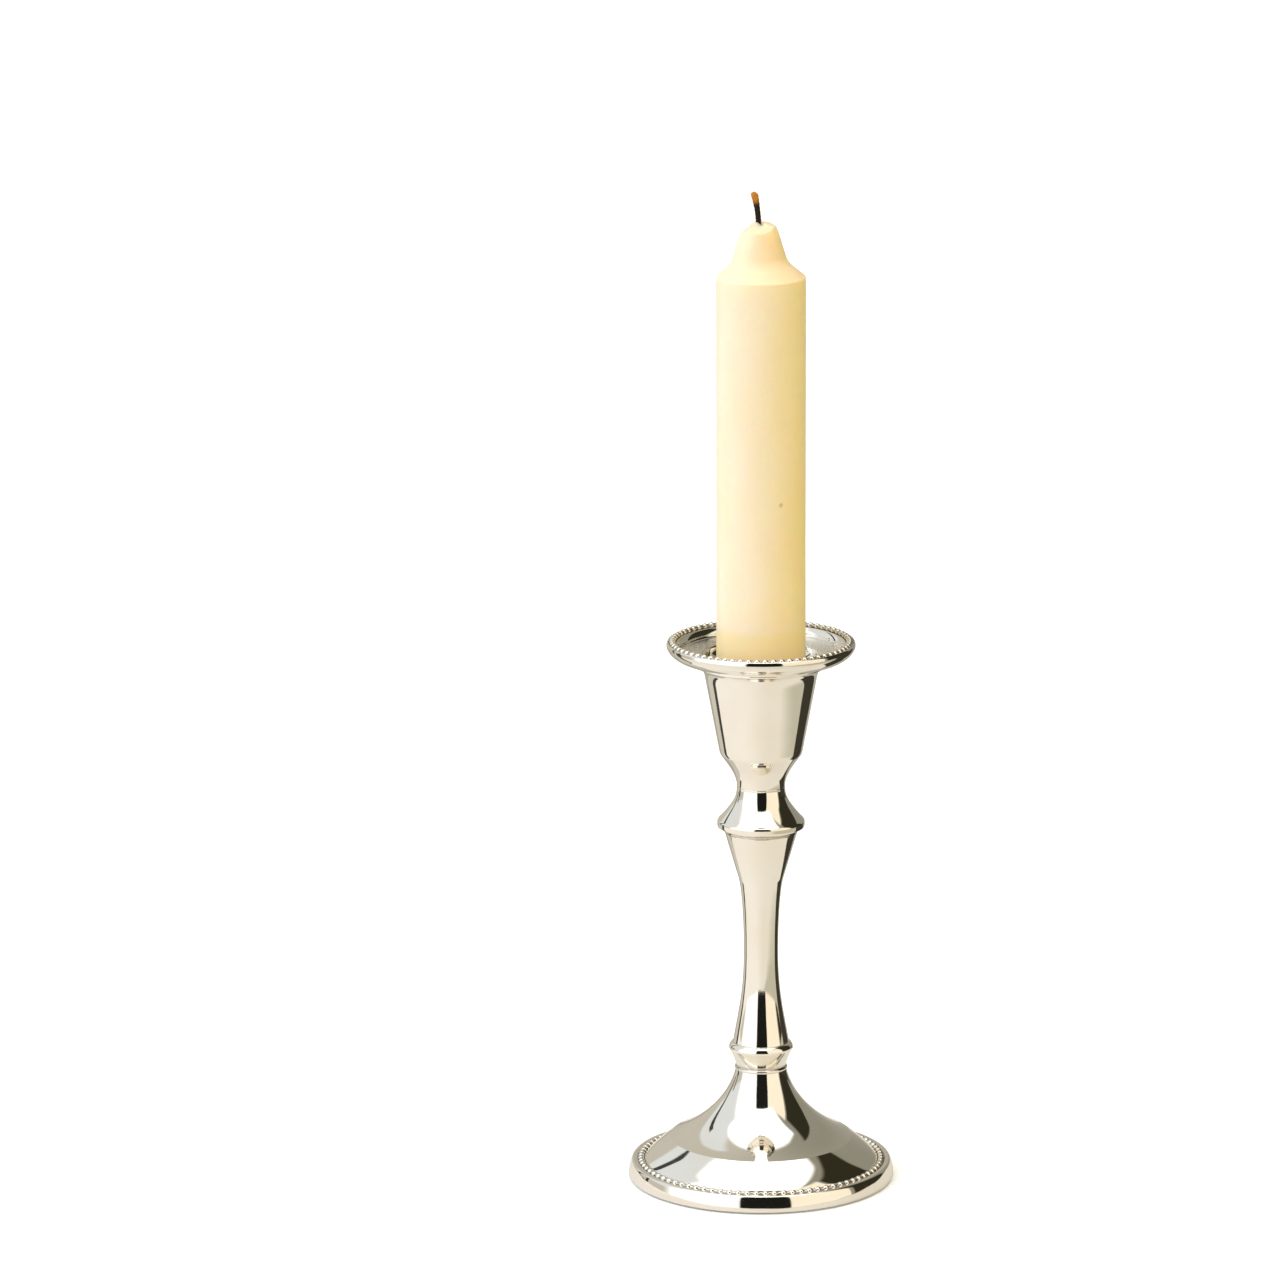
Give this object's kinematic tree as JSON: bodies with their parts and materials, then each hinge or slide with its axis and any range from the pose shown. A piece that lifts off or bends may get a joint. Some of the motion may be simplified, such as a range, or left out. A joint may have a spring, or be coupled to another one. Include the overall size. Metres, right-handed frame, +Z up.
{
  "type": "candlestick",
  "caption": "Silver-plated table candlestick with a weighted round foot, baluster stem, beaded drip pan that lifts off and a tapered cup that holds a dinner candle.",
  "frame": {"origin": "centre of the felt underside, on the table", "axes": "+Z up along the turning axis through the candle; every metal part is round about +Z"},
  "size_m": [0.0666, 0.0666, 0.2512],
  "materials": {
    "silver": "polished silver plate",
    "silver_beads": "polished silver plate, slightly darkened in the hollows",
    "steel": "plain zinc-plated steel",
    "filler": "rough cast cement filler",
    "felt": "dark green wool felt",
    "wax": "ivory candle wax, satin",
    "wick": "charred braided cotton"
  },
  "bodies": {
    "stand": {"felt_pad": "felt", "base_plate": "steel", "base_weight": "filler", "foot_shell": "silver", "foot_beads": "silver_beads", "stem_collar": "silver", "stem": "silver", "knop": "silver", "candle_cup": "silver", "tie_rod": "steel", "rod_washer": "steel", "spring_washer": "steel", "rod_nut": "steel", "cup_washer": "steel", "cup_nut": "steel"},
    "nozzle": {"drip_pan": "silver", "pan_beads": "silver_beads", "nozzle_sleeve": "silver"},
    "candle": {"candle_wax": "wax", "candle_wick": "wick"}
  },
  "joints": [
    {"name": "nozzle_lift", "type": "slide", "parent": "stand", "child": "nozzle", "axis": [0, 0, 1], "range_m": [0, 0.03]},
    {"name": "candle_lift", "type": "slide", "parent": "nozzle", "child": "candle", "axis": [0, 0, 1], "range_m": [0, 0.04]}
  ]
}
